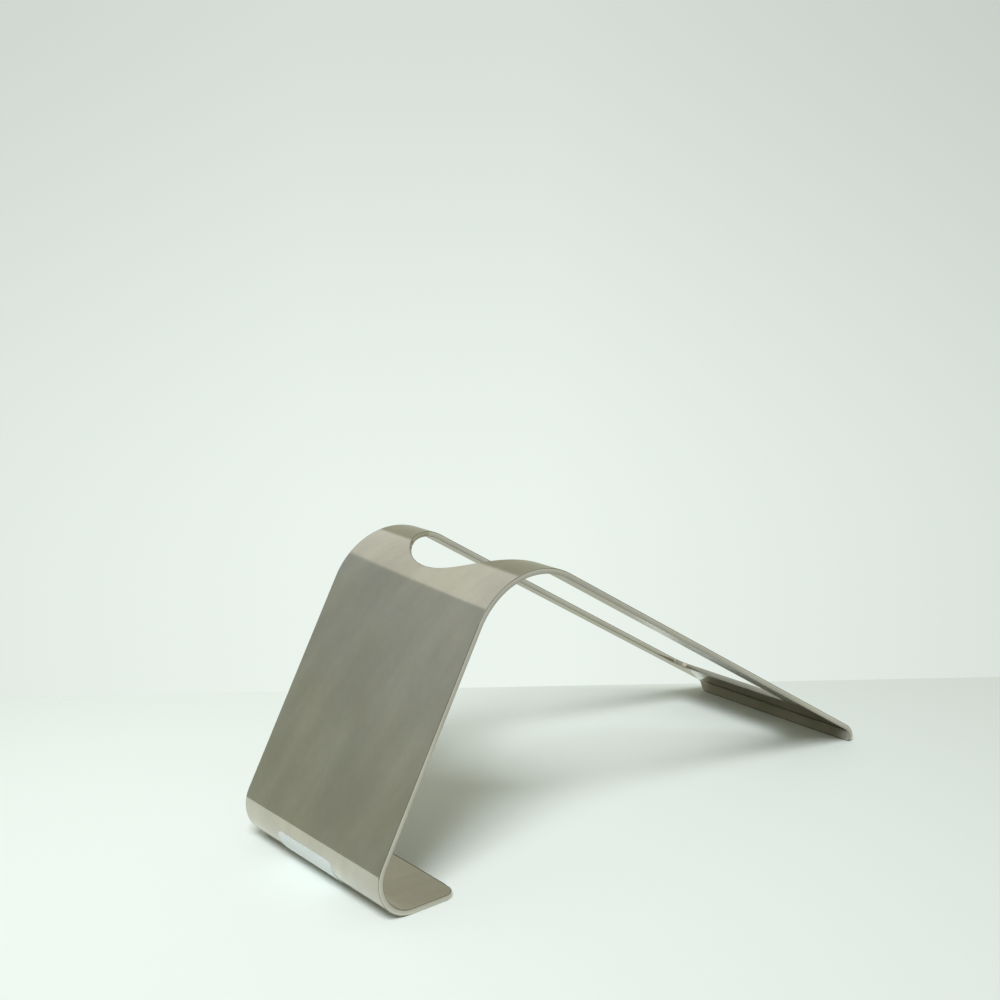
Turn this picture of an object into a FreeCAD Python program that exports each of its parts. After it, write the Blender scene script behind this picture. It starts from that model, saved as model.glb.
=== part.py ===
import FreeCAD, Part
import math
import os

import Sketcher
from FreeCAD import Matrix, Placement, Rotation, Vector

# Steel wine bottle stand: one strip of sheet with three folds and one long opening.
# Millimetres and degrees. X runs from the foot to the heel, Y across, Z up.
# The table is Z = 0, and the origin lies in the middle of the stand's footprint.
#
# Seen from the side, the strip starts at the foot's free end, lies flat on the table,
# turns up into the front leg, folds over at the top, slopes down as the cradle and
# ends in a short heel that is turned down onto the table.

os.makedirs("parts", exist_ok=True)
doc = FreeCAD.newDocument("bottle_stand")

# Driving dimensions
dimensions = [
    ("sheet_width", 82.5, "across the strip"),
    ("sheet_thickness", 2.0, "steel sheet"),
    ("foot_length", 17.5, "flat of the foot on the table"),
    ("foot_corner", 4.5, "corner radius of the foot's free end"),
    ("foot_bend", 11.0, "inside radius between foot and front leg"),
    ("front_angle", 60.3, "front leg to the table, degrees"),
    ("front_length", 80.0, "flat of the front leg"),
    ("top_bend", 26.5, "inside radius over the top"),
    ("cradle_slope", 31.8, "cradle to the table, degrees"),
    ("heel_bend", 6.0, "inside radius between cradle and heel"),
    ("heel_length", 1.0, "flat of the heel above the table"),
    ("heel_corner", 2.5, "corner radius of the heel's end"),
    ("opening_width", 60.0, "across the opening"),
    ("opening_nose", 38.0, "length of the opening's rounded nose, along the outside"),
    ("opening_start", 14.4, "from the start of the top bend to the opening, along the outside"),
    ("opening_seat", 146.0, "flat of the cradle down to the opening's lower end"),
    ("opening_corner", 5.0, "corner radius at the opening's lower end"),
    ("edge_break", 0.3, "radius of the softened arrises"),
    ("sticker_width", 33.0, "paper sticker along the fold"),
    ("sticker_height", 11.5, "paper sticker round the fold"),
    ("sticker_thickness", 0.15, "paper sticker"),
    ("sticker_corner", 2.5, "corner radius of the sticker"),
    ("sticker_across", 3.2, "middle of the sticker from the stand's middle"),
    ("sticker_turn", 58.5, "middle of the sticker up the foot bend, degrees"),
]
sheet = doc.addObject("Spreadsheet::Sheet", "dimensions")
# Where the rounded nose reaches its full width, measured down the cradle's flat
widest_formula = ("=opening_start + opening_nose"
                  " - (top_bend + sheet_thickness) * (front_angle + cradle_slope) * pi / 180")
dimensions.append(("opening_widest", widest_formula, "from the end of the top bend to the opening's full width"))
for row, (alias, value, meaning) in enumerate(dimensions, start=1):
    sheet.set("A%d" % row, alias)
    sheet.set("B%d" % row, str(value))
    sheet.set("C%d" % row, meaning)
    sheet.setAlias("B%d" % row, alias)
doc.recompute()


def size(alias):
    """The value of one driving dimension."""
    return float(sheet.get(alias))


def cell(alias):
    """The name of one driving dimension in an expression."""
    return "dimensions." + alias


def origin_plane(body, role):
    """One of the body's own origin planes."""
    return next(f for f in body.Origin.OriginFeatures if f.Role == role)


def sketch_on(body, role, name):
    """An empty sketch on one of the body's origin planes."""
    sketch = body.newObject("Sketcher::SketchObject", name)
    sketch.AttachmentSupport = (origin_plane(body, role), "")
    sketch.MapMode = "FlatFace"
    return sketch


def drive(sketch, constraint, expression):
    """Adds a sketch constraint whose value follows the spreadsheet."""
    index = sketch.addConstraint(constraint)
    sketch.setExpression("Constraints[%d]" % index, expression)
    return index


def fail_unless(condition, message):
    """Stops the build with a plain message."""
    if not condition:
        raise RuntimeError(message)


# The fold line: the middle of the sheet seen from the side
half_thickness = size("sheet_thickness") / 2
front_angle = math.radians(size("front_angle"))
cradle_slope = math.radians(size("cradle_slope"))
foot_radius = size("foot_bend") + half_thickness
top_radius = size("top_bend") + half_thickness
heel_radius = size("heel_bend") + half_thickness
top_turn = front_angle + cradle_slope


def ahead(heading):
    """Unit step in the side view along a heading."""
    return Vector(math.cos(heading), math.sin(heading), 0)


def inward(heading):
    """Unit step to the right of a heading, towards the inside of every fold."""
    return Vector(math.sin(heading), -math.cos(heading), 0)


foot_start = Vector(0, half_thickness, 0)
foot_end = foot_start + ahead(math.pi) * size("foot_length")
foot_centre = foot_end + inward(math.pi) * foot_radius
front_start = foot_centre - inward(front_angle) * foot_radius
front_end = front_start + ahead(front_angle) * size("front_length")
top_centre = front_end + inward(front_angle) * top_radius
cradle_start = top_centre - inward(-cradle_slope) * top_radius
# The cradle is as long as it takes to bring the heel down to the table
cradle_drop = cradle_start.y - heel_radius * math.cos(cradle_slope) - size("heel_length")
cradle_length = cradle_drop / math.sin(cradle_slope)
cradle_end = cradle_start + ahead(-cradle_slope) * cradle_length
heel_centre = cradle_end + inward(-cradle_slope) * heel_radius
heel_start = heel_centre - inward(-math.pi / 2) * heel_radius
heel_end = heel_start + ahead(-math.pi / 2) * size("heel_length")

# Footprint, which sets the origin
front_reach = foot_centre.x - foot_radius - half_thickness
heel_reach = heel_end.x + half_thickness
footprint_middle = (front_reach + heel_reach) / 2
stand_place = Placement(Vector(-footprint_middle, 0, 0), Rotation())
print("length %.2f mm, height %.2f mm, cradle flat %.2f mm"
      % (heel_reach - front_reach, top_centre.y + top_radius + half_thickness, cradle_length))


def fold(sketch, centre, radius, start, end):
    """An arc of the fold line from start to end, turning to the right."""
    first = math.atan2(end.y - centre.y, end.x - centre.x)
    last = math.atan2(start.y - centre.y, start.x - centre.x)
    if last < first:
        last += 2 * math.pi
    circle = Part.Circle(centre, Vector(0, 0, 1), radius)
    return sketch.addGeometry(Part.ArcOfCircle(circle, first, last))


# The strip itself: a rectangle of sheet carried along the fold line
strip = doc.addObject("PartDesign::Body", "strip")
line = sketch_on(strip, "XZ_Plane", "fold_line")
foot = line.addGeometry(Part.LineSegment(foot_start, foot_end))
foot_fold = fold(line, foot_centre, foot_radius, foot_end, front_start)
front = line.addGeometry(Part.LineSegment(front_start, front_end))
top_fold = fold(line, top_centre, top_radius, front_end, cradle_start)
cradle = line.addGeometry(Part.LineSegment(cradle_start, cradle_end))
heel_fold = fold(line, heel_centre, heel_radius, cradle_end, heel_start)
heel = line.addGeometry(Part.LineSegment(heel_start, heel_end))
START, END = range(1, 3)
X_AXIS, Y_AXIS = range(-1, -3, -1)
for before, arc, after in ((foot, foot_fold, front), (front, top_fold, cradle), (cradle, heel_fold, heel)):
    line.addConstraint(Sketcher.Constraint("Tangent", before, END, arc, END))
    line.addConstraint(Sketcher.Constraint("Tangent", arc, START, after, START))
line.addConstraint(Sketcher.Constraint("Horizontal", foot))
line.addConstraint(Sketcher.Constraint("Vertical", heel))
line.addConstraint(Sketcher.Constraint("PointOnObject", foot, START, Y_AXIS))
line.addConstraint(Sketcher.Constraint("PointOnObject", heel, END, X_AXIS))
drive(line, Sketcher.Constraint("DistanceY", X_AXIS, START, foot, START, half_thickness),
      cell("sheet_thickness") + " / 2")
drive(line, Sketcher.Constraint("Distance", foot, size("foot_length")), cell("foot_length"))
drive(line, Sketcher.Constraint("Distance", front, size("front_length")), cell("front_length"))
drive(line, Sketcher.Constraint("Distance", heel, size("heel_length")), cell("heel_length"))
drive(line, Sketcher.Constraint("Angle", front, front_angle), cell("front_angle") + " * 1 deg")
drive(line, Sketcher.Constraint("Angle", cradle, -cradle_slope), "-" + cell("cradle_slope") + " * 1 deg")
for arc, alias, radius in ((foot_fold, "foot_bend", foot_radius), (top_fold, "top_bend", top_radius),
                           (heel_fold, "heel_bend", heel_radius)):
    drive(line, Sketcher.Constraint("Radius", arc, radius),
          "%s + %s / 2" % (cell(alias), cell("sheet_thickness")))
doc.recompute()
fail_unless(line.solve() == 0, "the fold line does not solve")

section = sketch_on(strip, "YZ_Plane", "sheet_section")
half_width = size("sheet_width") / 2
corners = [Vector(-half_width, 0, 0), Vector(half_width, 0, 0),
           Vector(half_width, size("sheet_thickness"), 0), Vector(-half_width, size("sheet_thickness"), 0)]
sides = [section.addGeometry(Part.LineSegment(corners[k], corners[(k + 1) % 4])) for k in range(4)]
for k in range(4):
    section.addConstraint(Sketcher.Constraint("Coincident", sides[k], END, sides[(k + 1) % 4], START))
section.addConstraint(Sketcher.Constraint("Vertical", sides[1]))
section.addConstraint(Sketcher.Constraint("Vertical", sides[3]))
section.addConstraint(Sketcher.Constraint("Horizontal", sides[2]))
section.addConstraint(Sketcher.Constraint("Symmetric", sides[0], START, sides[0], END, X_AXIS, START))
drive(section, Sketcher.Constraint("Distance", sides[0], size("sheet_width")), cell("sheet_width"))
drive(section, Sketcher.Constraint("Distance", sides[1], size("sheet_thickness")), cell("sheet_thickness"))
doc.recompute()

pipe = strip.newObject("PartDesign::AdditivePipe", "folded_strip")
pipe.Profile = section
pipe.Spine = (line, ["Edge%d" % (k + 1) for k in range(7)])
doc.recompute()
def corner_edges(shape, at_x):
    """The short edges through the sheet at one free end of the strip."""
    found = []
    for k, edge in enumerate(shape.Edges, start=1):
        middle = edge.BoundBox.Center
        if abs(edge.Length - size("sheet_thickness")) < 1e-6 and abs(middle.x - at_x) < size("sheet_thickness"):
            if abs(abs(middle.y) - size("sheet_width") / 2) < 1e-6:
                found.append("Edge%d" % k)
    return found


# Rounded corners at the two free ends
for name, at_x, alias in (("foot_corners", foot_start.x, "foot_corner"), ("heel_corners", heel_end.x, "heel_corner")):
    before = strip.Tip
    rounded = strip.newObject("PartDesign::Fillet", name)
    rounded.Base = (before, corner_edges(before.Shape, at_x))
    rounded.setExpression("Radius", cell(alias))
    doc.recompute()
    fail_unless(rounded.Shape.Volume < before.Shape.Volume, name + " takes nothing away")

# Straight part of the opening, sunk square through the cradle
slot = sketch_on(strip, "XY_Plane", "opening_on_cradle")
slot_origin = cradle_start + ahead(-cradle_slope) * size("opening_seat")
slot.AttachmentOffset = Placement(Vector(slot_origin.x, 0, slot_origin.y),
                                  Rotation(Vector(0, 1, 0), size("cradle_slope")))
half_opening = size("opening_width") / 2
slot_length = size("opening_seat") - size("opening_widest")
corner = size("opening_corner")
far = -slot_length
points = [Vector(far, half_opening, 0), Vector(far, -half_opening, 0),
          Vector(-corner, -half_opening, 0), Vector(0, corner - half_opening, 0),
          Vector(0, half_opening - corner, 0), Vector(-corner, half_opening, 0)]
lead_in = slot.addGeometry(Part.LineSegment(points[0], points[1]))
near_side = slot.addGeometry(Part.LineSegment(points[1], points[2]))
near_corner = slot.addGeometry(Part.ArcOfCircle(
    Part.Circle(Vector(-corner, corner - half_opening, 0), Vector(0, 0, 1), corner), -math.pi / 2, 0))
seat = slot.addGeometry(Part.LineSegment(points[3], points[4]))
far_corner = slot.addGeometry(Part.ArcOfCircle(
    Part.Circle(Vector(-corner, half_opening - corner, 0), Vector(0, 0, 1), corner), 0, math.pi / 2))
far_side = slot.addGeometry(Part.LineSegment(points[5], points[0]))
slot.addConstraint(Sketcher.Constraint("Coincident", lead_in, END, near_side, START))
slot.addConstraint(Sketcher.Constraint("Tangent", near_side, END, near_corner, START))
slot.addConstraint(Sketcher.Constraint("Tangent", near_corner, END, seat, START))
slot.addConstraint(Sketcher.Constraint("Tangent", seat, END, far_corner, START))
slot.addConstraint(Sketcher.Constraint("Tangent", far_corner, END, far_side, START))
slot.addConstraint(Sketcher.Constraint("Coincident", far_side, END, lead_in, START))
slot.addConstraint(Sketcher.Constraint("Horizontal", near_side))
slot.addConstraint(Sketcher.Constraint("Horizontal", far_side))
slot.addConstraint(Sketcher.Constraint("Vertical", lead_in))
slot.addConstraint(Sketcher.Constraint("Equal", near_corner, far_corner))
slot.addConstraint(Sketcher.Constraint("Symmetric", seat, START, seat, END, X_AXIS, START))
drive(slot, Sketcher.Constraint("Radius", near_corner, corner), cell("opening_corner"))
drive(slot, Sketcher.Constraint("Distance", lead_in, size("opening_width")), cell("opening_width"))
drive(slot, Sketcher.Constraint("DistanceX", lead_in, START, seat, START, slot_length),
      cell("opening_seat") + " - " + cell("opening_widest"))
doc.recompute()
fail_unless(slot.solve() == 0, "the opening's sketch does not solve")

before = strip.Tip
pocket = strip.newObject("PartDesign::Pocket", "opening_straight")
pocket.Profile = slot
pocket.Midplane = True
pocket.setExpression("Length", cell("sheet_thickness") + " * 3")
doc.recompute()
straight_volume = (slot_length * size("opening_width") - (2 - math.pi / 2) * corner ** 2) * size("sheet_thickness")
taken = before.Shape.Volume - pocket.Shape.Volume
print("straight opening takes %.1f of about %.1f mm3" % (taken, straight_volume))
fail_unless(abs(taken - straight_volume) < 0.05 * straight_volume, "the straight opening is off the sheet")

# Rounded nose of the opening, which runs over the top bend. Its walls stand square
# to the sheet everywhere, as when the blank is cut flat and folded afterwards.
outer_top = size("top_bend") + size("sheet_thickness")
spare = half_thickness
nose = size("opening_nose")
nose_start = size("opening_start")


def cylinder(radius):
    """A cylinder about the local Z axis."""
    surface = Part.Cylinder()
    surface.Radius = radius
    return surface


def line_on(first, second):
    """A straight line in the plane of turn and width."""
    return Part.Geom2d.Line2dSegment(first, second)


def point(turn, across):
    """A point in the plane of turn and width."""
    return FreeCAD.Base.Vector2d(turn, across)


def ellipse_on(centre, turn_reach, across_reach):
    """An ellipse in the plane of turn and width, longer across."""
    return Part.Geom2d.Ellipse2d(centre + point(0, across_reach), centre + point(-turn_reach, 0), centre)


def closed_solid(faces):
    """One solid out of faces that meet edge to edge."""
    shell = Part.Shell(faces)
    shell.sewShape()
    solid = Part.Solid(Part.Shell(shell.Faces))
    solid.fix(1e-6, 1e-6, 1e-4)
    if solid.Volume < 0:
        solid.reverse()
    fail_unless(solid.isValid() and solid.Volume > 0, "a wrapped solid does not close")
    return solid


def wall_between(low, high, flat):
    """The wall between an edge on the inner cylinder and its partner on the outer one."""
    if not flat:
        return Part.makeRuledSurface(low, high)
    risers = [Part.LineSegment(a.Point, b.Point).toShape() for a, b in zip(low.Vertexes, high.Vertexes)]
    return Part.Face(Part.Wire(Part.__sortEdges__([low, high] + risers)))


def wrapped_solid(outline, inner_radius, outer_radius):
    """A block between two cylinders, with walls that point at their axis."""
    straight = [curve for curve in outline if isinstance(curve, Part.Geom2d.Line2dSegment)]
    caps = []
    rims = []
    for radius in (inner_radius, outer_radius):
        surface = cylinder(radius)
        rim = [curve.toShape(surface) for curve in outline]
        rims.append(rim)
        caps.append(Part.Face(surface, Part.Wire(rim)))
    walls = [wall_between(low, high, curve in straight) for curve, low, high in zip(outline, *rims)]
    return closed_solid(caps + walls)


def fold_placement(centre, start):
    """Puts the local X axis on a fold's start and turns towards its end."""
    out = (start - centre).normalize()
    along = Vector(out.y, -out.x, 0)
    return Placement(Matrix(out.x, along.x, 0, centre.x,
                            0, 0, 1, 0,
                            out.y, along.y, 0, centre.y,
                            0, 0, 0, 1))


# The nose is one half of an ellipse in the plane of turn and width. It starts on the
# bend and reaches its full width a little way down the flat of the cradle.
oval = ellipse_on(point((nose_start + nose) / outer_top, 0), nose / outer_top, half_opening)
nose_on_bend = top_turn * outer_top - nose_start
cross_width = half_opening * math.sin(math.acos(1 - nose_on_bend / nose))
bend_end = (point(top_turn, cross_width), point(top_turn, -cross_width))
over_bend = wrapped_solid([
    Part.Geom2d.ArcOfEllipse2d(oval, oval.parameter(bend_end[0]), oval.parameter(bend_end[1])),
    line_on(bend_end[1], bend_end[0]),
], size("top_bend") - spare, outer_top + spare)
over_bend.Placement = fold_placement(top_centre, front_end)

# The rest of the nose, on the flat of the cradle, run a little into the straight part
widest = size("opening_widest")
overrun = size("sheet_thickness")
under_face = size("top_bend") - spare


def on_cradle(along, across):
    """A point just under the cradle, measured from the end of the top bend."""
    return Vector(under_face, along, across)


flat_oval = Part.Ellipse(on_cradle(widest - nose, 0), on_cradle(widest, half_opening), on_cradle(widest, 0))
swings = [flat_oval.parameter(on_cradle(0, cross_width)), flat_oval.parameter(on_cradle(widest, half_opening))]
swings = sorted(min(swing, 2 * math.pi - swing) for swing in swings)
side_curves = [Part.ArcOfEllipse(flat_oval, *swings), Part.ArcOfEllipse(flat_oval, -swings[1], -swings[0])]
stops = [on_cradle(widest + overrun, half_opening), on_cradle(widest + overrun, -half_opening)]
if side_curves[0].EndPoint.z < 0:
    stops.reverse()
flat_wire = Part.Wire([
    side_curves[0].toShape(),
    Part.LineSegment(side_curves[0].EndPoint, stops[0]).toShape(),
    Part.LineSegment(stops[0], stops[1]).toShape(),
    Part.LineSegment(stops[1], side_curves[1].StartPoint).toShape(),
    side_curves[1].toShape(),
    Part.LineSegment(side_curves[1].EndPoint, side_curves[0].StartPoint).toShape(),
])
over_cradle = Part.Face(flat_wire).extrude(Vector(size("sheet_thickness") + 2 * spare, 0, 0))
over_cradle.Placement = fold_placement(top_centre, cradle_start)
print("nose %.1f mm3 over the bend, %.1f mm3 over the cradle" % (over_bend.Volume, over_cradle.Volume))

nose_cutter = doc.addObject("Part::Feature", "opening_nose")
nose_cutter.Shape = over_bend.fuse(over_cradle)
opened = doc.addObject("Part::Cut", "opened_strip")
opened.Base = strip
opened.Tool = nose_cutter
doc.recompute()
print("opened", opened.Shape.Volume, opened.Shape.isValid(), len(opened.Shape.Solids), len(opened.Shape.Faces))


def outward(face, at):
    """A face's normal at a point on it."""
    u, v = face.Surface.parameter(at)
    normal = face.normalAt(u, v)
    return normal


def sharp_edges(shape):
    """The numbers of the edges where two faces meet at more than a slight angle."""
    found = []
    for k, edge in enumerate(shape.Edges, start=1):
        faces = shape.ancestorsOfType(edge, Part.Face)
        if len(faces) != 2:
            continue
        at = edge.valueAt((edge.FirstParameter + edge.LastParameter) / 2)
        angle = outward(faces[0], at).getAngle(outward(faces[1], at))
        if math.degrees(angle) > 20:
            found.append(k)
    return found


# Softened arrises along every cut edge of the sheet
stand = doc.addObject("Part::Fillet", "stand")
stand.Base = opened
break_radius = size("edge_break")
stand.Edges = [(k, break_radius, break_radius) for k in sharp_edges(opened.Shape)]
stand.Label = "stand"
stand.Placement = stand_place
doc.recompute()
print("stand volume %.1f mm3, %d solid, %d faces" % (stand.Shape.Volume, len(stand.Shape.Solids), len(stand.Shape.Faces)))

# Paper sticker pressed onto the outside of the foot bend
outer_foot = size("foot_bend") + size("sheet_thickness")
half_turn = size("sticker_height") / outer_foot / 2
half_across = size("sticker_width") / 2
corner_turn = size("sticker_corner") / outer_foot
corner_across = size("sticker_corner")
middle = point(math.radians(size("sticker_turn")), size("sticker_across"))
quarter = math.pi / 2
rounds = []
for k, (turn_side, across_side) in enumerate(((-1, 1), (-1, -1), (1, -1), (1, 1))):
    centre = middle + point(turn_side * (half_turn - corner_turn), across_side * (half_across - corner_across))
    rounds.append(Part.Geom2d.ArcOfEllipse2d(ellipse_on(centre, corner_turn, corner_across),
                                             k * quarter, (k + 1) * quarter))
sticker_outline = []
for k in range(4):
    first, second = rounds[k], rounds[(k + 1) % 4]
    sticker_outline.append(first)
    sticker_outline.append(line_on(first.value(first.LastParameter), second.value(second.FirstParameter)))
sticker = doc.addObject("Part::Feature", "sticker")
sticker.Shape = wrapped_solid(sticker_outline, outer_foot, outer_foot + size("sticker_thickness"))
sticker.Label = "sticker"
sticker.Placement = stand_place.multiply(fold_placement(foot_centre, foot_end))
doc.recompute()
print("sticker volume %.2f mm3" % sticker.Shape.Volume, sticker.Shape.BoundBox)

for thing in doc.Objects:
    fail_unless("Invalid" not in thing.State and "Error" not in thing.State, thing.Name + " is in error")
    if hasattr(thing, "Shape") and not thing.Shape.isNull():
        fail_unless(thing.Shape.isValid(), thing.Name + " has a faulty shape")
for piece in (stand, sticker):
    fail_unless(not piece.Shape.isNull() and len(piece.Shape.Solids) == 1, piece.Label + " is not one solid")
    piece.Shape.Solids[0].exportStep("parts/%s.step" % piece.Label)
    box = piece.Shape.BoundBox
    print("%s: x %.2f..%.2f y %.2f..%.2f z %.2f..%.2f mm"
          % (piece.Label, box.XMin, box.XMax, box.YMin, box.YMax, box.ZMin, box.ZMax))
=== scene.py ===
# %% [markdown]
# # A folded mirror: the looks of a steel stand
#
# The stand is one strip of polished sheet steel with three folds and one long opening.
# Polished steel has almost no colour of its own. What makes it look like steel is what
# it mirrors, so this scene is built in four steps:
#
# 1. a flat blank is drawn as an even grid, with softened arrises along every cut edge,
# 2. Geometry Nodes fold the blank, and turn its normals along with it,
# 3. a shader gives the steel its tint, its handling marks and its faint waviness,
# 4. the studio around it is arranged for what the mirror sees: pale floor below,
#    a dim room at eye level, bright ceiling above.
#
# Lengths are metres. X runs from the foot to the heel, Y across the strip, Z up.

# %% Load the frame
import math

import bpy
import numpy as np
from mathutils import Matrix, Vector


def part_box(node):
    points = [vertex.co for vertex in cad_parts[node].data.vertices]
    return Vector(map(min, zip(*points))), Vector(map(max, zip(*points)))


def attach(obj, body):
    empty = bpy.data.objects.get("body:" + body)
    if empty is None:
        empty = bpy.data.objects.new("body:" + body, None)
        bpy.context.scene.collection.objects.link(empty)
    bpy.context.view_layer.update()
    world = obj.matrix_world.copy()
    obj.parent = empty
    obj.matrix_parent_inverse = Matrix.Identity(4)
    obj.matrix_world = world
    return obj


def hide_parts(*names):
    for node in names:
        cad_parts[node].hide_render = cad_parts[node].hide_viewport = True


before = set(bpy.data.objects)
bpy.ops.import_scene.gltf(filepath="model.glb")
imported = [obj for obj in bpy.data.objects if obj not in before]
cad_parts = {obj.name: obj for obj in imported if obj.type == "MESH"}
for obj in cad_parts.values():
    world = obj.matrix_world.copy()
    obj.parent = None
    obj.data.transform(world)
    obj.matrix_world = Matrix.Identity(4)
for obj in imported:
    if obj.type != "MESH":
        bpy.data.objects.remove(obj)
scene = bpy.context.scene
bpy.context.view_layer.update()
MM = 0.001
print("CAD nodes", sorted(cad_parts))

# %% [markdown]
# ## The sheet's sizes
#
# They are the same numbers that drive the CAD model. The folds are given by the radius
# of the sheet's middle and by how far they turn.

# %% Sizes of the strip
WIDTH = 82.5 * MM
THICKNESS = 2.0 * MM
FOOT_LENGTH = 17.5 * MM
FOOT_CORNER = 4.5 * MM
FOOT_RADIUS = 12.0 * MM
FRONT_ANGLE = math.radians(60.3)
FRONT_LENGTH = 80.0 * MM
TOP_RADIUS = 27.5 * MM
CRADLE_SLOPE = math.radians(31.8)
HEEL_RADIUS = 7.0 * MM
HEEL_LENGTH = 1.0 * MM
HEEL_CORNER = 2.5 * MM
OPENING_HALF = 30.0 * MM
OPENING_START = 14.4 * MM
NOSE = 38.0 * MM
SEAT = 146.0 * MM
SEAT_CORNER = 5.0 * MM
EDGE_BREAK = 0.3 * MM

HALF_WIDTH = WIDTH / 2
HALF_SHEET = THICKNESS / 2
FOOT_TURN = math.pi - FRONT_ANGLE
TOP_TURN = FRONT_ANGLE + CRADLE_SLOPE
HEEL_TURN = math.pi / 2 - CRADLE_SLOPE
print("folds turn by", [round(math.degrees(t), 1) for t in (FOOT_TURN, TOP_TURN, HEEL_TURN)])

# %% [markdown]
# ## A walk along the strip
#
# The side view is walked from the foot's tip over the top to the heel. The cradle is as
# long as it takes to bring the heel down to the table, so its length isn't measured but
# worked out. The walk also gives the middle of the footprint, which lies on the origin.

# %% Where the folds come


def heading_step(angle, length):
    """A step of the given length along a heading in the side view."""
    return np.array([math.cos(angle), math.sin(angle)]) * length


def fold_step(angle, turn, radius):
    """The step from a fold's start to its end, turning to the right."""
    def side(a):
        return np.array([math.sin(a), -math.cos(a)]) * radius
    return side(angle) - side(angle - turn)


walk = np.array([0.0, HALF_SHEET])
walk = walk + heading_step(math.pi, FOOT_LENGTH) + fold_step(math.pi, FOOT_TURN, FOOT_RADIUS)
walk = walk + heading_step(FRONT_ANGLE, FRONT_LENGTH)
walk = walk + fold_step(FRONT_ANGLE, TOP_TURN, TOP_RADIUS)
heel_drop = HEEL_RADIUS * math.cos(CRADLE_SLOPE) + HEEL_LENGTH
CRADLE_LENGTH = (walk[1] - heel_drop) / math.sin(CRADLE_SLOPE)
walk = walk + heading_step(-CRADLE_SLOPE, CRADLE_LENGTH)
walk = walk + fold_step(-CRADLE_SLOPE, HEEL_TURN, HEEL_RADIUS)
front_reach = -FOOT_LENGTH - FOOT_RADIUS - HALF_SHEET
heel_reach = walk[0] + HALF_SHEET
MIDDLE = (front_reach + heel_reach) / 2

# Where each part of the strip begins, measured along the middle of the sheet
FOOT_FOLD = FOOT_LENGTH
FRONT = FOOT_FOLD + FOOT_RADIUS * FOOT_TURN
TOP_FOLD = FRONT + FRONT_LENGTH
CRADLE = TOP_FOLD + TOP_RADIUS * TOP_TURN
HEEL_FOLD = CRADLE + CRADLE_LENGTH
HEEL = HEEL_FOLD + HEEL_RADIUS * HEEL_TURN
STRIP_END = HEEL + HEEL_LENGTH
print("cradle %.2f mm long, strip %.2f mm long" % (CRADLE_LENGTH / MM, STRIP_END / MM))

# %% [markdown]
# ## Rows across the blank
#
# The blank is cut into rows across the strip. Rows lie close together where the strip
# will be folded and where the outline curves. A curve such as a rounded corner is walked
# in equal steps of angle, so its outline stays smooth.

# %% Places of the rows
FOOT_ROWS = 2.0 * MM
FRONT_ROWS = 2.5 * MM
RAIL_ROWS = 3.0 * MM
REAR_ROWS = 2.5 * MM
FOOT_FOLD_ROWS = FOOT_RADIUS * math.radians(2)
TOP_FOLD_ROWS = TOP_RADIUS * math.radians(1.5)
HEEL_FOLD_ROWS = HEEL_RADIUS * math.radians(3)
CORNER_ANGLES = [k * math.radians(6) for k in range(16)]
NOSE_COUNT = 60
NOSE_ANGLES = [math.pi / 2 * k / NOSE_COUNT for k in range(NOSE_COUNT)]
SEAT_END = CRADLE + SEAT


def spaced(start, end, step):
    """Even stations from start up to but not including end."""
    count = max(1, int(round(abs(end - start) / step)))
    return [start + (end - start) * k / count for k in range(count)]


def nose_station(angle):
    """Where an angle of the opening's rounded nose lies along the strip."""
    outside = OPENING_START + NOSE * (1 - math.cos(angle))
    on_fold = TOP_TURN * (TOP_RADIUS + HALF_SHEET)
    if outside > on_fold:
        return CRADLE + outside - on_fold
    return TOP_FOLD + outside * TOP_RADIUS / (TOP_RADIUS + HALF_SHEET)


def half_width_at(station):
    """Half the strip's width, less near its rounded ends."""
    for end, corner in ((station, FOOT_CORNER), (STRIP_END - station, HEEL_CORNER)):
        if end < corner:
            return HALF_WIDTH - corner + math.sqrt(max(0.0, corner ** 2 - (corner - end) ** 2))
    return HALF_WIDTH


before_opening = [FOOT_CORNER * (1 - math.cos(a)) for a in CORNER_ANGLES[:-1]]
before_opening += spaced(FOOT_CORNER, FOOT_FOLD, FOOT_ROWS)
before_opening += spaced(FOOT_FOLD, FRONT, FOOT_FOLD_ROWS)
before_opening += spaced(FRONT, TOP_FOLD, FRONT_ROWS)
before_opening += spaced(TOP_FOLD, nose_station(0), TOP_FOLD_ROWS)

# Beside the opening, a row is a station and half the opening's width there
beside_opening = [(nose_station(a), OPENING_HALF * math.sin(a)) for a in NOSE_ANGLES]
beside_opening += [(station, OPENING_HALF) for station in spaced(
    nose_station(math.pi / 2), SEAT_END - SEAT_CORNER, RAIL_ROWS)]
for angle in CORNER_ANGLES:
    beside_opening.append((SEAT_END - SEAT_CORNER * (1 - math.sin(angle)),
                           OPENING_HALF - SEAT_CORNER * (1 - math.cos(angle))))

after_opening = spaced(SEAT_END, HEEL_FOLD, REAR_ROWS)[1:]
after_opening += spaced(HEEL_FOLD, STRIP_END - HEEL_CORNER, HEEL_FOLD_ROWS)
after_opening += [STRIP_END - HEEL_CORNER * (1 - math.sin(a)) for a in CORNER_ANGLES]
print("rows", len(before_opening), len(beside_opening), len(after_opening))

# %% [markdown]
# ## One face of the sheet
#
# Every row is one or two stretches of sheet: one where the strip is whole, two beside
# the opening. The same number of points across lets neighbouring rows join with quads.
# The points on the outline are noted on the way, because the cut edges start there.

# %% Points and quads of the flat face
RAIL_QUADS = 12
SEAT_QUADS = 24
SEAT_HALF = OPENING_HALF - SEAT_CORNER
points = []
quads = []
near_edge, far_edge, opening_near, opening_far = [], [], [], []


def add_row(station, low, high, count):
    """Points across one stretch of a row, returned as their numbers."""
    first = len(points)
    for k in range(count + 1):
        points.append((station, low + (high - low) * k / count))
    return list(range(first, first + count + 1))


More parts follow.
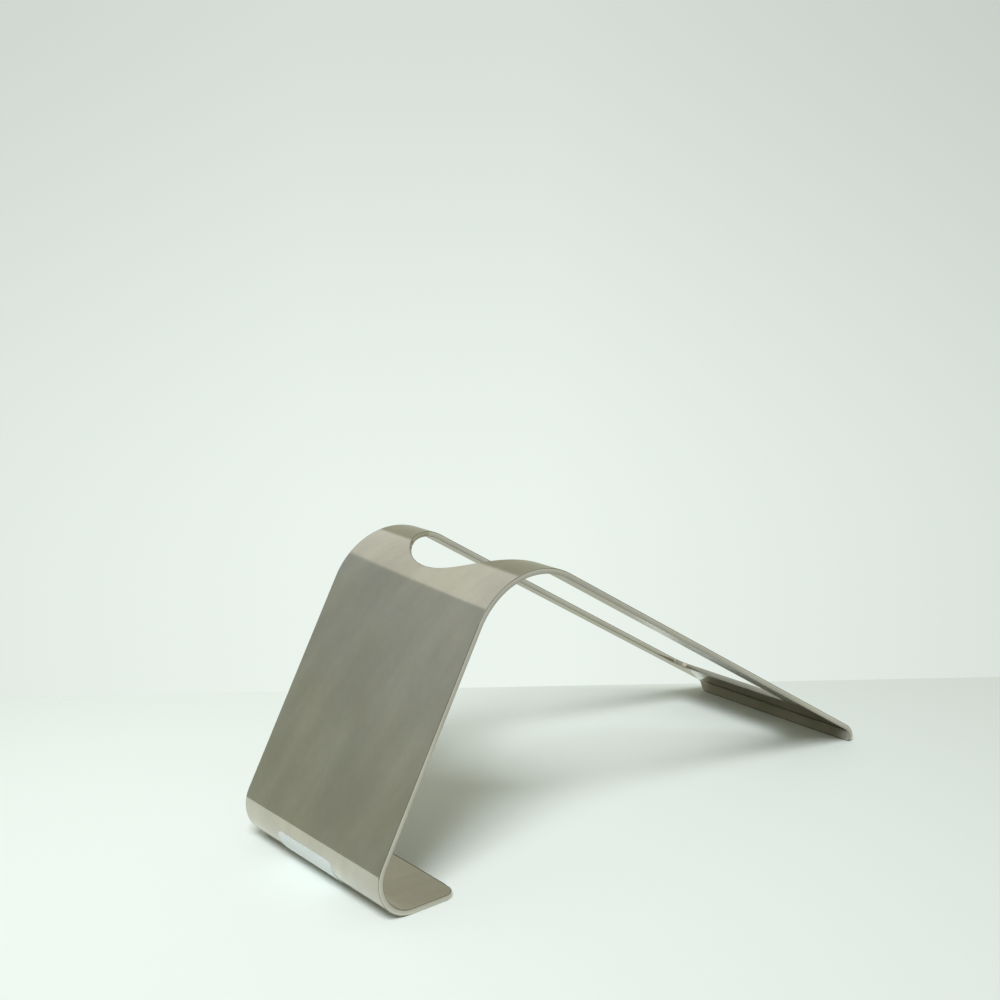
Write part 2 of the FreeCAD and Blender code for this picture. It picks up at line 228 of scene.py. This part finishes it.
def join(row, following):
    """Quads between two rows with the same number of points."""
    for k in range(len(row) - 1):
        quads.append((row[k], following[k], following[k + 1], row[k + 1]))


def note_ends(row):
    """Notes where a row meets the strip's two long edges."""
    near_edge.append(row[0])
    far_edge.append(row[-1])


foot_row = previous = None
for station in before_opening:
    half = half_width_at(station)
    row = add_row(station, -half, half, 2 * RAIL_QUADS)
    note_ends(row)
    if previous:
        join(previous, row)
    foot_row = foot_row or row
    previous = row

tip_row = add_row(beside_opening[0][0], -HALF_WIDTH, HALF_WIDTH, 2 * RAIL_QUADS)
note_ends(tip_row)
join(previous, tip_row)
near_rail, far_rail = tip_row[:RAIL_QUADS + 1], tip_row[RAIL_QUADS:]
opening_near.append(near_rail[-1])
for station, gap in beside_opening[1:]:
    near_next = add_row(station, -HALF_WIDTH, -gap, RAIL_QUADS)
    far_next = add_row(station, gap, HALF_WIDTH, RAIL_QUADS)
    note_ends(near_next + far_next)
    join(near_rail, near_next)
    join(far_rail, far_next)
    opening_near.append(near_next[-1])
    opening_far.append(far_next[0])
    near_rail, far_rail = near_next, far_next

seat_inner = add_row(SEAT_END, -SEAT_HALF, SEAT_HALF, SEAT_QUADS)[1:-1]
previous = near_rail + seat_inner + far_rail
for station in after_opening:
    half = half_width_at(station)
    near_part = add_row(station, -half, -SEAT_HALF, RAIL_QUADS)
    middle = add_row(station, -SEAT_HALF, SEAT_HALF, SEAT_QUADS)[1:-1]
    far_part = add_row(station, SEAT_HALF, half, RAIL_QUADS)
    row = near_part + middle + far_part
    note_ends(row)
    join(previous, row)
    previous = row

# Points that two stretches share were made twice, so those that no quad uses go
outer_loop = foot_row[::-1] + near_edge[1:] + previous[1:] + far_edge[1:-1][::-1]
inner_loop = opening_near + seat_inner + opening_far[::-1]
used = sorted({v for quad in quads for v in quad})
renumber = {v: k for k, v in enumerate(used)}
flat = np.array([points[v] for v in used])
quads = np.array([[renumber[v] for v in quad] for quad in quads])
outer, inner = ([renumber[v] for v in loop] for loop in (outer_loop, inner_loop))
print("blank", len(flat), "points", len(quads), "quads", len(outer), len(inner), "on the outlines")

# %% [markdown]
# ## Both faces and the softened edges
#
# The other face is the same grid on the other side. Along each outline a narrow band goes
# round the edge: a quarter round, the cut wall and another quarter round. Every point also
# gets the exact direction that the polished surface faces there, because a mirror shows
# the slightest error in its shading. A Bevel modifier would round the edges too, but it
# leaves the normals to a guess.

# %% Close the sheet round its edges
BREAK_STEPS = 5


def turning(loop):
    """Positive if an outline runs anticlockwise in the blank, else negative."""
    x, y = flat[loop].T
    return np.sign(np.sum(x * np.roll(y, -1) - np.roll(x, -1) * y))


def outward(loop, sign):
    """For each outline point, the direction in the blank that points out of the sheet."""
    here = flat[loop]
    tangent = np.roll(here, -1, axis=0) - np.roll(here, 1, axis=0)
    normal = np.stack([tangent[:, 1], -tangent[:, 0]], axis=1)
    return sign * normal / np.linalg.norm(normal, axis=1, keepdims=True)


outlines = [(outer, outward(outer, turning(outer))), (inner, outward(inner, -turning(inner)))]
face = flat.copy()
for loop, out in outlines:
    face[loop] -= out * EDGE_BREAK
count = len(face)
level = np.full((count, 1), HALF_SHEET)
straight_up = np.tile([0.0, 0.0, 1.0], (count, 1))
vertices = [np.hstack([face, level]), np.hstack([face, -level])]
facing = [straight_up, -straight_up]
faces = [tuple(quad) for quad in quads] + [tuple(quad[::-1] + count) for quad in quads]

# The rings of the band, from one face round the edge to the other
total = 2 * count
round_steps = [(k, 1) for k in range(1, BREAK_STEPS + 1)]
round_steps += [(k, -1) for k in range(BREAK_STEPS, 0, -1)]
for loop, out in outlines:
    rings = [np.array(loop)]
    for k, side in round_steps:
        angle = math.pi / 2 * k / BREAK_STEPS
        place = face[loop] + out * EDGE_BREAK * math.sin(angle)
        height = side * (HALF_SHEET - EDGE_BREAK * (1 - math.cos(angle)))
        rise = np.full((len(loop), 1), side * math.cos(angle))
        vertices.append(np.hstack([place, np.full((len(loop), 1), height)]))
        facing.append(np.hstack([out * math.sin(angle), rise]))
        rings.append(np.arange(total, total + len(loop)))
        total += len(loop)
    rings.append(np.array(loop) + count)
    for upper, lower in zip(rings, rings[1:]):
        after_upper, after_lower = np.roll(upper, -1), np.roll(lower, -1)
        if (turning(loop) > 0) == (loop is outer):
            faces += list(zip(upper, lower, after_lower, after_upper))
        else:
            faces += list(zip(upper, after_upper, after_lower, lower))
vertices = np.vstack(vertices)
facing = np.vstack(facing)
print("closed sheet", len(vertices), "points", len(faces), "faces")

# %% [markdown]
# ## The blank as an object
#
# Two things are stored on the points for later: the direction that each point faces, for
# its normal, and its depth in the sheet, from -1 to 1, for the painted shading of the cut edge.

# %% Make the blank
blank = bpy.data.meshes.new("blank")
blank.from_pydata(vertices.tolist(), [], [tuple(int(v) for v in f) for f in faces])
facing_store = blank.attributes.new("facing", "FLOAT_VECTOR", "POINT")
facing_store.data.foreach_set("vector", facing.ravel())
depth_store = blank.attributes.new("depth", "FLOAT", "POINT")
depth_store.data.foreach_set("value", (vertices[:, 2] / HALF_SHEET).astype(np.float32))
stand = bpy.data.objects.new("folded_sheet", blank)
scene.collection.objects.link(stand)
print("blank", [round(v / MM, 2) for v in stand.dimensions], "mm")

# %% [markdown]
# ## Small words for nodes
#
# A node tree is built with many short calls. These helpers add a node, link or set a
# socket, and do one sum each, so that the trees below read like a recipe.

# %% Helpers for node trees


def group_socket(tree, name, kind, direction="INPUT", value=None):
    """Adds one input or output to a node group."""
    socket = tree.interface.new_socket(name=name, in_out=direction, socket_type=kind)
    if value is not None:
        socket.default_value = value
    return socket


def add(tree, kind, **settings):
    """Adds a node and sets its plain properties."""
    node = tree.nodes.new(kind)
    for name, value in settings.items():
        setattr(node, name, value)
    return node


def feed(tree, target, source):
    """Links a socket, or sets it if the source is a plain value."""
    if isinstance(source, bpy.types.NodeSocket):
        tree.links.new(source, target)
    else:
        target.default_value = source


def maths(tree, operation, *sources):
    """One sum on numbers, as a node."""
    node = add(tree, "ShaderNodeMath", operation=operation)
    for target, source in zip(node.inputs, sources):
        feed(tree, target, source)
    return node.outputs[0]


def vector_of(tree, x=0.0, y=0.0, z=0.0):
    """A vector from three numbers or sockets."""
    node = add(tree, "ShaderNodeCombineXYZ")
    for target, source in zip(node.inputs, (x, y, z)):
        feed(tree, target, source)
    return node.outputs[0]


def named(tree, name, kind):
    """Reads a stored attribute."""
    node = add(tree, "GeometryNodeInputNamedAttribute", data_type=kind)
    node.inputs["Name"].default_value = name
    return node.outputs["Attribute"]


def store(tree, geometry, name, kind, value):
    """Stores an attribute on every point."""
    node = add(tree, "GeometryNodeStoreNamedAttribute", data_type=kind, domain="POINT")
    feed(tree, node.inputs["Geometry"], geometry)
    node.inputs["Name"].default_value = name
    feed(tree, node.inputs["Value"], value)
    return node.outputs[0]


def turned(tree, vector, centre, angle):
    """A vector turned about an axis along the strip's width."""
    node = add(tree, "ShaderNodeVectorRotate", rotation_type="Y_AXIS")
    feed(tree, node.inputs["Vector"], vector)
    feed(tree, node.inputs["Center"], centre)
    feed(tree, node.inputs["Angle"], angle)
    return node.outputs[0]


def turn_all(tree, geometry, position, centre, angle):
    """Turns the points and the directions that they face."""
    move = add(tree, "GeometryNodeSetPosition")
    feed(tree, move.inputs["Geometry"], geometry)
    feed(tree, move.inputs["Position"], turned(tree, position, centre, angle))
    swung = turned(tree, named(tree, "facing", "FLOAT_VECTOR"), (0, 0, 0), angle)
    return store(tree, move.outputs[0], "facing", "FLOAT_VECTOR", swung)


# %% [markdown]
# ## One fold
#
# A fold is always the same rule. Points before the fold stay where they are. Points in
# the fold wind onto a circle. Points behind it turn with the end of the fold. So the rule
# is a node group with three inputs, and the direction that each point faces is turned by
# the same angle. A Simple Deform modifier bends too, but not the stored directions.

# %% Node group for a fold
fold = bpy.data.node_groups.new("Fold the sheet", "GeometryNodeTree")
group_socket(fold, "Geometry", "NodeSocketGeometry")
group_socket(fold, "Start", "NodeSocketFloat")
group_socket(fold, "Radius", "NodeSocketFloat")
group_socket(fold, "Turn", "NodeSocketFloat")
group_socket(fold, "Geometry", "NodeSocketGeometry", "OUTPUT")
entry, leave = add(fold, "NodeGroupInput"), add(fold, "NodeGroupOutput")
start, radius, turn = (entry.outputs[n] for n in ("Start", "Radius", "Turn"))
past = maths(fold, "SUBTRACT", named(fold, "along", "FLOAT"), start)
past = maths(fold, "MAXIMUM", past, 0.0)
past = maths(fold, "MINIMUM", past, maths(fold, "MULTIPLY", radius, turn))
drawn_back = add(fold, "ShaderNodeVectorMath", operation="SUBTRACT")
feed(fold, drawn_back.inputs[0], add(fold, "GeometryNodeInputPosition").outputs[0])
feed(fold, drawn_back.inputs[1], vector_of(fold, x=past))
centre = vector_of(fold, x=start, z=maths(fold, "MULTIPLY", radius, -1.0))
fold_angle = maths(fold, "DIVIDE", past, radius)
folded = turn_all(fold, entry.outputs["Geometry"], drawn_back.outputs[0], centre, fold_angle)
feed(fold, leave.inputs["Geometry"], folded)
print("fold group", len(fold.nodes), "nodes")

# %% [markdown]
# ## The folded stand
#
# The folds are made from the heel to the foot, so that each one swings what is already
# folded. At the end the strip is turned over, moved onto the origin and set smooth.

# %% Node tree of the whole strip
FOLDS = (("Heel", HEEL_FOLD, HEEL_RADIUS, HEEL_TURN), ("Top", TOP_FOLD, TOP_RADIUS, TOP_TURN),
         ("Foot", FOOT_FOLD, FOOT_RADIUS, FOOT_TURN))
tree = bpy.data.node_groups.new("Folded stand", "GeometryNodeTree")
group_socket(tree, "Geometry", "NodeSocketGeometry")
for name, begin, bend_radius, bend_turn in FOLDS:
    group_socket(tree, name + " fold start", "NodeSocketFloat", value=begin)
    group_socket(tree, name + " fold radius", "NodeSocketFloat", value=bend_radius)
    group_socket(tree, name + " fold turn", "NodeSocketFloat", value=bend_turn)
group_socket(tree, "Footprint middle", "NodeSocketFloat", value=MIDDLE)
group_socket(tree, "Sheet middle", "NodeSocketFloat", value=HALF_SHEET)
group_socket(tree, "Material", "NodeSocketMaterial")
group_socket(tree, "Geometry", "NodeSocketGeometry", "OUTPUT")
entry, leave = add(tree, "NodeGroupInput"), add(tree, "NodeGroupOutput")
parts = add(tree, "ShaderNodeSeparateXYZ")
feed(tree, parts.inputs[0], add(tree, "GeometryNodeInputPosition").outputs[0])
geometry = store(tree, entry.outputs["Geometry"], "along", "FLOAT", parts.outputs["X"])
for name, *_ in FOLDS:
    step = add(tree, "GeometryNodeGroup", node_tree=fold)
    feed(tree, step.inputs["Geometry"], geometry)
    for key in ("start", "radius", "turn"):
        feed(tree, step.inputs[key.capitalize()], entry.outputs["%s fold %s" % (name, key)])
    geometry = step.outputs["Geometry"]
here = add(tree, "GeometryNodeInputPosition").outputs[0]
upright = turn_all(tree, geometry, here, (0, 0, 0), math.pi)
shift = add(tree, "GeometryNodeSetPosition")
feed(tree, shift.inputs["Geometry"], upright)
back = maths(tree, "MULTIPLY", entry.outputs["Footprint middle"], -1.0)
feed(tree, shift.inputs["Offset"], vector_of(tree, x=back, z=entry.outputs["Sheet middle"]))
smooth = add(tree, "GeometryNodeSetShadeSmooth")
feed(tree, smooth.inputs["Geometry"], shift.outputs[0])
real = add(tree, "GeometryNodeRealizeInstances")
feed(tree, real.inputs[0], smooth.outputs[0])
coat = add(tree, "GeometryNodeSetMaterial")
feed(tree, coat.inputs["Geometry"], real.outputs[0])
feed(tree, coat.inputs["Material"], entry.outputs["Material"])
feed(tree, leave.inputs["Geometry"], coat.outputs[0])
print("stand tree", len(tree.nodes), "nodes")

# %% [markdown]
# ## Small words for finishes
#
# A finish is mostly soft noise that is squeezed into a narrow range of tones. Everything
# reads the Object coordinates, so the marks stay on the steel from every side.

# %% Helpers for materials


def principled(name):
    """A material with its main shader."""
    material = bpy.data.materials.new(name)
    material.use_nodes = True
    return material, material.node_tree, material.node_tree.nodes["Principled BSDF"]


def noise(net, vector, scale, detail=2.0):
    """Cloudy numbers around one half."""
    node = add(net, "ShaderNodeTexNoise")
    feed(net, node.inputs["Vector"], vector)
    node.inputs["Scale"].default_value = scale
    node.inputs["Detail"].default_value = detail
    node.inputs["Roughness"].default_value = 0.5
    return node.outputs["Fac"]


def remap(net, value, low, high, to_low, to_high):
    """A number moved from one range to another, held at its ends."""
    node = add(net, "ShaderNodeMapRange", interpolation_type="SMOOTHSTEP")
    limits = (("From Min", low), ("From Max", high), ("To Min", to_low), ("To Max", to_high))
    for key, number in limits:
        node.inputs[key].default_value = number
    feed(net, node.inputs["Value"], value)
    return node.outputs[0]


def along(net, vector, axis):
    """How far a point lies along an axis."""
    node = add(net, "ShaderNodeVectorMath", operation="DOT_PRODUCT")
    feed(net, node.inputs[0], vector)
    node.inputs[1].default_value = axis
    return node.outputs["Value"]


def ramp(net, value, stops):
    """A grey that follows a list of (place, tone) stops."""
    node = add(net, "ShaderNodeValToRGB")
    feed(net, node.inputs["Fac"], value)
    band = node.color_ramp
    while len(band.elements) < len(stops):
        band.elements.new(0.5)
    for element, (where, grey) in zip(band.elements, stops):
        element.position = where
        element.color = (grey, grey, grey, 1)
    return node.outputs["Color"]


def blend(net, factor, first, second):
    """A colour between two colours."""
    node = add(net, "ShaderNodeMix", data_type="RGBA")
    feed(net, node.inputs["Factor"], factor)
    feed(net, node.inputs["A"], first)
    feed(net, node.inputs["B"], second)
    return node.outputs["Result"]


def scaled(net, colour, strength):
    """A colour made darker or brighter."""
    node = add(net, "ShaderNodeVectorMath", operation="SCALE")
    feed(net, node.inputs[0], colour)
    feed(net, node.inputs["Scale"], strength)
    return node.outputs[0]


# %% [markdown]
# ## Polished steel
#
# The tint is a warm grey. Handling leaves soft cloudy patches, and fine wiping marks run
# up the leg at a slant. Both are noise that only changes the tint a little. Across the cut
# edge the tint follows the stored depth as painted shading: dark beside the softened
# corners and paler in between, the light and dark bands of a rounded edge's reflections
# painted into the colour. The sheet is never quite flat either, so a very shallow bump
# bends the mirror images.

# %% Steel
STEEL_TINTS = ((0.540, 0.500, 0.424, 1), (0.536, 0.499, 0.440, 1))
STEEL_ROUGHNESS = 0.075
WIPING_SLANT = math.radians(18)
WIPING_STRETCH = 0.22
WAVE_HEIGHT = 0.04 * MM
# Depth from 0 to 1 through the sheet, and half the painted shade there (painted reflection bands
# on the cut edge)
EDGE_PAINTED_SHADING = ((0.0, 0.5), (0.01, 0.27), (0.10, 0.30), (0.17, 0.44), (0.45, 0.48),
              (0.66, 0.54), (0.83, 0.60), (0.88, 0.37), (0.99, 0.35), (1.0, 0.5))

steel, net, shader = principled("polished_steel")
place = add(net, "ShaderNodeTexCoord").outputs["Object"]
patches = remap(net, noise(net, place, 30.0, detail=3.0), 0.3, 0.7, 0.93, 1.045)
up_leg = Vector((math.cos(FRONT_ANGLE), 0, math.sin(FRONT_ANGLE)))
over = Vector((0, 1, 0))
across_marks = up_leg * math.sin(WIPING_SLANT) + over * math.cos(WIPING_SLANT)
along_marks = up_leg * math.cos(WIPING_SLANT) - over * math.sin(WIPING_SLANT)
streak = vector_of(net, x=along(net, place, across_marks),
                   y=along(net, place, along_marks * WIPING_STRETCH))
wiping = remap(net, noise(net, streak, 75.0), 0.35, 0.75, 0.965, 1.075)
grain = remap(net, noise(net, place, 420.0), 0.3, 0.7, 0.985, 1.015)
depth = add(net, "ShaderNodeAttribute", attribute_name="depth").outputs["Fac"]
# Painted shading: the light and dark bands of the cut edge's reflections are painted into the tint
edge_painted_shading = ramp(net, maths(net, "MULTIPLY_ADD", depth, 0.5, 0.5), EDGE_PAINTED_SHADING)
tone = maths(net, "MULTIPLY", patches, wiping)
tone = maths(net, "MULTIPLY", tone, grain)
tone = maths(net, "MULTIPLY", tone, maths(net, "MULTIPLY", edge_painted_shading, 2.0))
hue = blend(net, remap(net, noise(net, place, 55.0), 0.35, 0.65, 0.0, 1.0), *STEEL_TINTS)
feed(net, shader.inputs["Base Color"], scaled(net, hue, tone))
shader.inputs["Metallic"].default_value = 1.0
shader.inputs["Roughness"].default_value = STEEL_ROUGHNESS
bump = add(net, "ShaderNodeBump")
bump.inputs["Strength"].default_value = 1.0
bump.inputs["Distance"].default_value = WAVE_HEIGHT
feed(net, bump.inputs["Height"], noise(net, place, 38.0, detail=1.0))
feed(net, shader.inputs["Normal"], bump.outputs[0])
print("steel", len(net.nodes), "nodes")

# %% [markdown]
# ## Sticker paper
#
# The sticker is thin coated paper. It is a little glossy, and its fibres give a faint
# fleck.

# %% Paper
STICKER_WHITE = (0.70, 0.735, 0.73)

paper, net, shader = principled("sticker_paper")
place = add(net, "ShaderNodeTexCoord").outputs["Object"]
fleck = remap(net, noise(net, place, 900.0, detail=3.0), 0.2, 0.8, 0.95, 1.03)
feed(net, shader.inputs["Base Color"], scaled(net, STICKER_WHITE, fleck))
shader.inputs["Roughness"].default_value = 0.45
print("paper", len(net.nodes), "nodes")

# %% [markdown]
# ## The finished sheet
#
# The folded result becomes a plain mesh. The stored directions become its normals, so
# flat faces stay perfectly flat in the mirror up to the softened edge. The sheet then
# stands for the CAD node of the same shape, and the sticker's own node gets its paper.

# %% Fold, finish and hand over
modifier = stand.modifiers.new("fold", "NODES")
modifier.node_group = tree
for item in tree.interface.items_tree:
    if item.name == "Material" and item.in_out == "INPUT":
        modifier[item.identifier] = steel
bpy.context.view_layer.update()
evaluated = stand.evaluated_get(bpy.context.evaluated_depsgraph_get())
result = bpy.data.meshes.new_from_object(evaluated)
stand.modifiers.clear()
stand.data = result
directions = np.zeros(len(result.vertices) * 3, np.float32)
result.attributes["facing"].data.foreach_get("vector", directions)
result.normals_split_custom_set_from_vertices(directions.reshape(-1, 3).tolist())
for name in ("facing", "along"):
    result.attributes.remove(result.attributes[name])
stand.data.materials.clear()
stand.data.materials.append(steel)

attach(stand, "root")
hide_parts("stand")
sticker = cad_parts["sticker"]
sticker.data.materials.clear()
sticker.data.materials.append(paper)
low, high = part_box("stand")
corners = [Vector(c) for c in stand.bound_box]
print("CAD box", [round(v / MM, 3) for v in (*low, *high)])
print("sheet box", [round(f(c[k] for c in corners) / MM, 3) for f in (min, max) for k in range(3)])

# %% [markdown]
# ## Camera
#
# The camera looks down at the stand from its front left. Where it stands and how it is
# turned were fitted to the photo, so the render can be laid over it. The lens is given by
# its focal length in pixels of a picture 1000 pixels wide.

# %% Place the camera
CAMERA_PLACE = (-0.35891, -0.40985, 0.23608)
YAW, PITCH, ROLL = (math.radians(a) for a in (-38.66, 11.85, -1.17))
FOCAL_PIXELS = 1531.63
SENSOR = 36

forward = Vector((-math.sin(YAW) * math.cos(PITCH), math.cos(YAW) * math.cos(PITCH),
                  -math.sin(PITCH)))
level_right = Vector((math.cos(YAW), math.sin(YAW), 0))
level_up = level_right.cross(forward)
right = level_right * math.cos(ROLL) + level_up * math.sin(ROLL)
up = level_up * math.cos(ROLL) - level_right * math.sin(ROLL)
lens = bpy.data.cameras.new("camera")
lens.sensor_width = SENSOR
lens.lens = SENSOR * FOCAL_PIXELS / 1000
lens.shift_x = -0.00056
lens.shift_y = -0.02584
lens.clip_start = 0.01
camera = bpy.data.objects.new("camera", lens)
turn_matrix = Matrix((right, up, -forward)).transposed().to_4x4()
camera.matrix_world = Matrix.Translation(CAMERA_PLACE) @ turn_matrix
scene.collection.objects.link(camera)
scene.camera = camera
print("lens %.1f mm" % lens.lens)

# %% [markdown]
# ## The floor
#
# The object stands on pale paper. The paper ends in a straight line behind the object,
# where a pale backdrop begins. A lamp's falloff is painted into the paper: it is a little
# darker away from the middle. Far from the object it fades to the backdrop's colour, so
# that every side has a quiet ground.
#
# The mirror sees the paper only up to the table's edge in front of the object. That edge
# is the sharp line between the bright fold at the bottom and the grey leg above it.

# %% Paper floor
OUTLINE = Vector((forward.x, forward.y, 0)).normalized()
SIDEWAYS = Vector((OUTLINE.y, -OUTLINE.x, 0))
SEAM = 0.657
TABLE_EDGE = -0.193
FAR = 6
PAPER = (0.825, 0.888, 0.845)
BACKDROP = Vector((0.835, 0.905, 0.85))
AT_HORIZON = 0.873


def reach(net, place, centre):
    """How far a point lies from a centre."""
    node = add(net, "ShaderNodeVectorMath", operation="DISTANCE")
    feed(net, node.inputs[0], place)
    node.inputs[1].default_value = centre
    return node.outputs["Value"]


def paper_sheet(name, corners):
    """A flat four-cornered piece of the floor."""
    mesh = bpy.data.meshes.new(name)
    mesh.from_pydata(corners, [], [(0, 1, 2, 3)])
    mesh.materials.append(floor_paper)
    sheet = bpy.data.objects.new(name, mesh)
    scene.collection.objects.link(sheet)
    return sheet


floor_paper, net, shader = principled("floor_paper")
place = add(net, "ShaderNodeTexCoord").outputs["Object"]
# Painted light: the lamp's falloff is painted into the paper's colour, darker away from a bright
# middle
painted_light_falloff = remap(net, reach(net, place, (-0.10, 0.10, 0)), 0.03, 0.40, 1.0, 0.80)
feed(net, shader.inputs["Base Color"], scaled(net, PAPER, painted_light_falloff))
shader.inputs["Roughness"].default_value = 0.9
shader.inputs["Specular IOR Level"].default_value = 0.2
distance_glow = add(net, "ShaderNodeEmission")
distance_glow.inputs["Color"].default_value = (*(BACKDROP * AT_HORIZON), 1)
fade = add(net, "ShaderNodeMixShader")
feed(net, fade.inputs[0], remap(net, reach(net, place, (0, 0, 0)), 0.40, 0.95, 0.0, 1.0))
feed(net, fade.inputs[1], shader.outputs[0])
feed(net, fade.inputs[2], distance_glow.outputs[0])
feed(net, net.nodes["Material Output"].inputs["Surface"], fade.outputs[0])

seam_middle = Vector((camera.location.x, camera.location.y, 0)) + OUTLINE * SEAM
seam_turn = seam_middle + SIDEWAYS * ((TABLE_EDGE - seam_middle.x) / SIDEWAYS.x)
seam_right = seam_middle + SIDEWAYS * FAR
seam_left = seam_middle - SIDEWAYS * FAR
paper_sheet("floor", [
    seam_turn, (TABLE_EDGE, -FAR, 0), (seam_right.x, -FAR, 0), seam_right])
beyond = paper_sheet("floor_beyond_table", [
    seam_turn, seam_left, (seam_left.x, -FAR, 0), (TABLE_EDGE, -FAR, 0)])
beyond.visible_glossy = False
print("the floor's seam turns at", [round(v, 3) for v in seam_turn])

# %% [markdown]
# ## What the mirror sees
#
# A mirror has no colour of its own, so the room around it is part of its look. The world
# shows each kind of ray its own room. The camera sees the pale backdrop. A mirror sees a
# dim room at eye level, which turns the front leg grey, a bright ceiling, which lights the
# fold over the top, and a bright window behind the object. Paper sees an even soft sky.
# The mirror's room is only shown to rays that have not yet left a sheet of paper, so the
# steel throws no bright spots on the floor.

# %% The mirror's room
ROOM_LOW = (0.406, 0.446, 0.373, 1)
ROOM_HIGH = (0.475, 0.525, 0.498, 1)
REAR_WALL = (0.465, 0.488, 0.396, 1)
BRIGHT = (0.845, 0.89, 0.825, 1)
SKY_LOW = (0.26, 0.257, 0.218, 1)
SKY_HIGH = (0.50, 0.495, 0.42, 1)
WINDOW_SIDE = Vector((0.883, -0.469, 0))

world = bpy.data.worlds.new("studio")
scene.world = world
world.use_nodes = True
net = world.node_tree
net.nodes.clear()
gaze = add(net, "ShaderNodeTexCoord").outputs["Object"]
direction = add(net, "ShaderNodeSeparateXYZ")
feed(net, direction.inputs[0], gaze)
east, north, rise = direction.outputs
to_right_front = maths(net, "MINIMUM", remap(net, north, -0.35, -0.2, 1.0, 0.0),
                       remap(net, east, 0.1, 0.3, 0.0, 1.0))
ceiling = maths(net, "MULTIPLY", remap(net, rise, 0.554, 0.566, 0.0, 1.0),
                maths(net, "SUBTRACT", 1.0, to_right_front))
behind = remap(net, east, -0.05, 0.05, 0.0, 1.0)
window = maths(net, "MINIMUM", behind,
               remap(net, along(net, gaze, WINDOW_SIDE), -0.03, 0.03, 1.0, 0.0))
room = blend(net, remap(net, rise, 0.20, 0.35, 0.0, 1.0), ROOM_LOW, ROOM_HIGH)
walls = blend(net, behind, room, REAR_WALL)
mirror_view = blend(net, maths(net, "MAXIMUM", ceiling, window), walls, BRIGHT)
sky = blend(net, maths(net, "MAXIMUM", rise, 0.0), SKY_LOW, SKY_HIGH)
print("mirror's room", len(net.nodes), "nodes")

# %% [markdown]
# ## The backdrop, and who sees what
#
# The backdrop's light is painted into the world's colour: painted shade makes it darker to the
# sides and upwards, as paper lit from the middle.
# Light Path then tells camera rays, mirror rays and all others apart.

# %% Backdrop and world
# Place across the view from 0 to 1, with the middle at 0.5, and the painted shade there
BACKDROP_PAINTED_SHADE = ((0.0, 1.0), (0.30, 0.905), (0.44, 1.0), (0.515, 1.0), (0.73, 0.79), (1.0, 1.0))
AT_TOP = AT_HORIZON - 0.083

ahead = maths(net, "MAXIMUM", maths(net, "ABSOLUTE", along(net, gaze, OUTLINE)), 0.2)
aside = maths(net, "DIVIDE", along(net, gaze, SIDEWAYS), ahead)
# Painted shade of the backdrop: darker to the sides, and below also darker upwards
shade = ramp(net, maths(net, "MULTIPLY_ADD", aside, 0.5, 0.5), BACKDROP_PAINTED_SHADE)
shade = maths(net, "MULTIPLY", shade, remap(net, rise, -0.27, 0.175, 1.0, AT_TOP))
path = add(net, "ShaderNodeLightPath").outputs
plain = blend(net, path["Is Camera Ray"], sky, scaled(net, BACKDROP, shade))
not_from_paper = maths(net, "LESS_THAN", path["Diffuse Depth"], 0.5)
first_mirror = maths(net, "MULTIPLY", path["Is Glossy Ray"], not_from_paper)
surroundings = add(net, "ShaderNodeBackground")
feed(net, surroundings.inputs["Color"], blend(net, first_mirror, plain, mirror_view))
feed(net, add(net, "ShaderNodeOutputWorld").inputs[0], surroundings.outputs[0])
print("world", len(net.nodes), "nodes")

# %% [markdown]
# ## The lamp
#
# One large soft lamp on the camera's side throws the shadow. Its size sets how soft the
# shadow's rim is. The mirror doesn't see it, because the bright ceiling stands for it.

# %% Key lamp
TO_LAMP = Vector((-0.57, -0.491, 1.0)).normalized()
LAMP_DISTANCE = 2.0
LAMP_SIDE = 0.75

lamp = bpy.data.lights.new("key", "AREA")
lamp.shape = "RECTANGLE"
lamp.size = LAMP_SIDE
lamp.size_y = LAMP_SIDE
lamp.energy = 35
lamp.color = (0.914, 0.947, 1.0)
lamp_object = bpy.data.objects.new("key", lamp)
lamp_object.location = TO_LAMP * LAMP_DISTANCE
lamp_object.rotation_euler = TO_LAMP.to_track_quat("Z", "Y").to_euler()
lamp_object.visible_glossy = False
scene.collection.objects.link(lamp_object)
print("lamp at", [round(v, 2) for v in lamp_object.location])

# %% [markdown]
# ## Colours as written
#
# The Standard view shows each colour as it is written, with no film look over it.

# %% Finish
scene.view_settings.view_transform = "Standard"
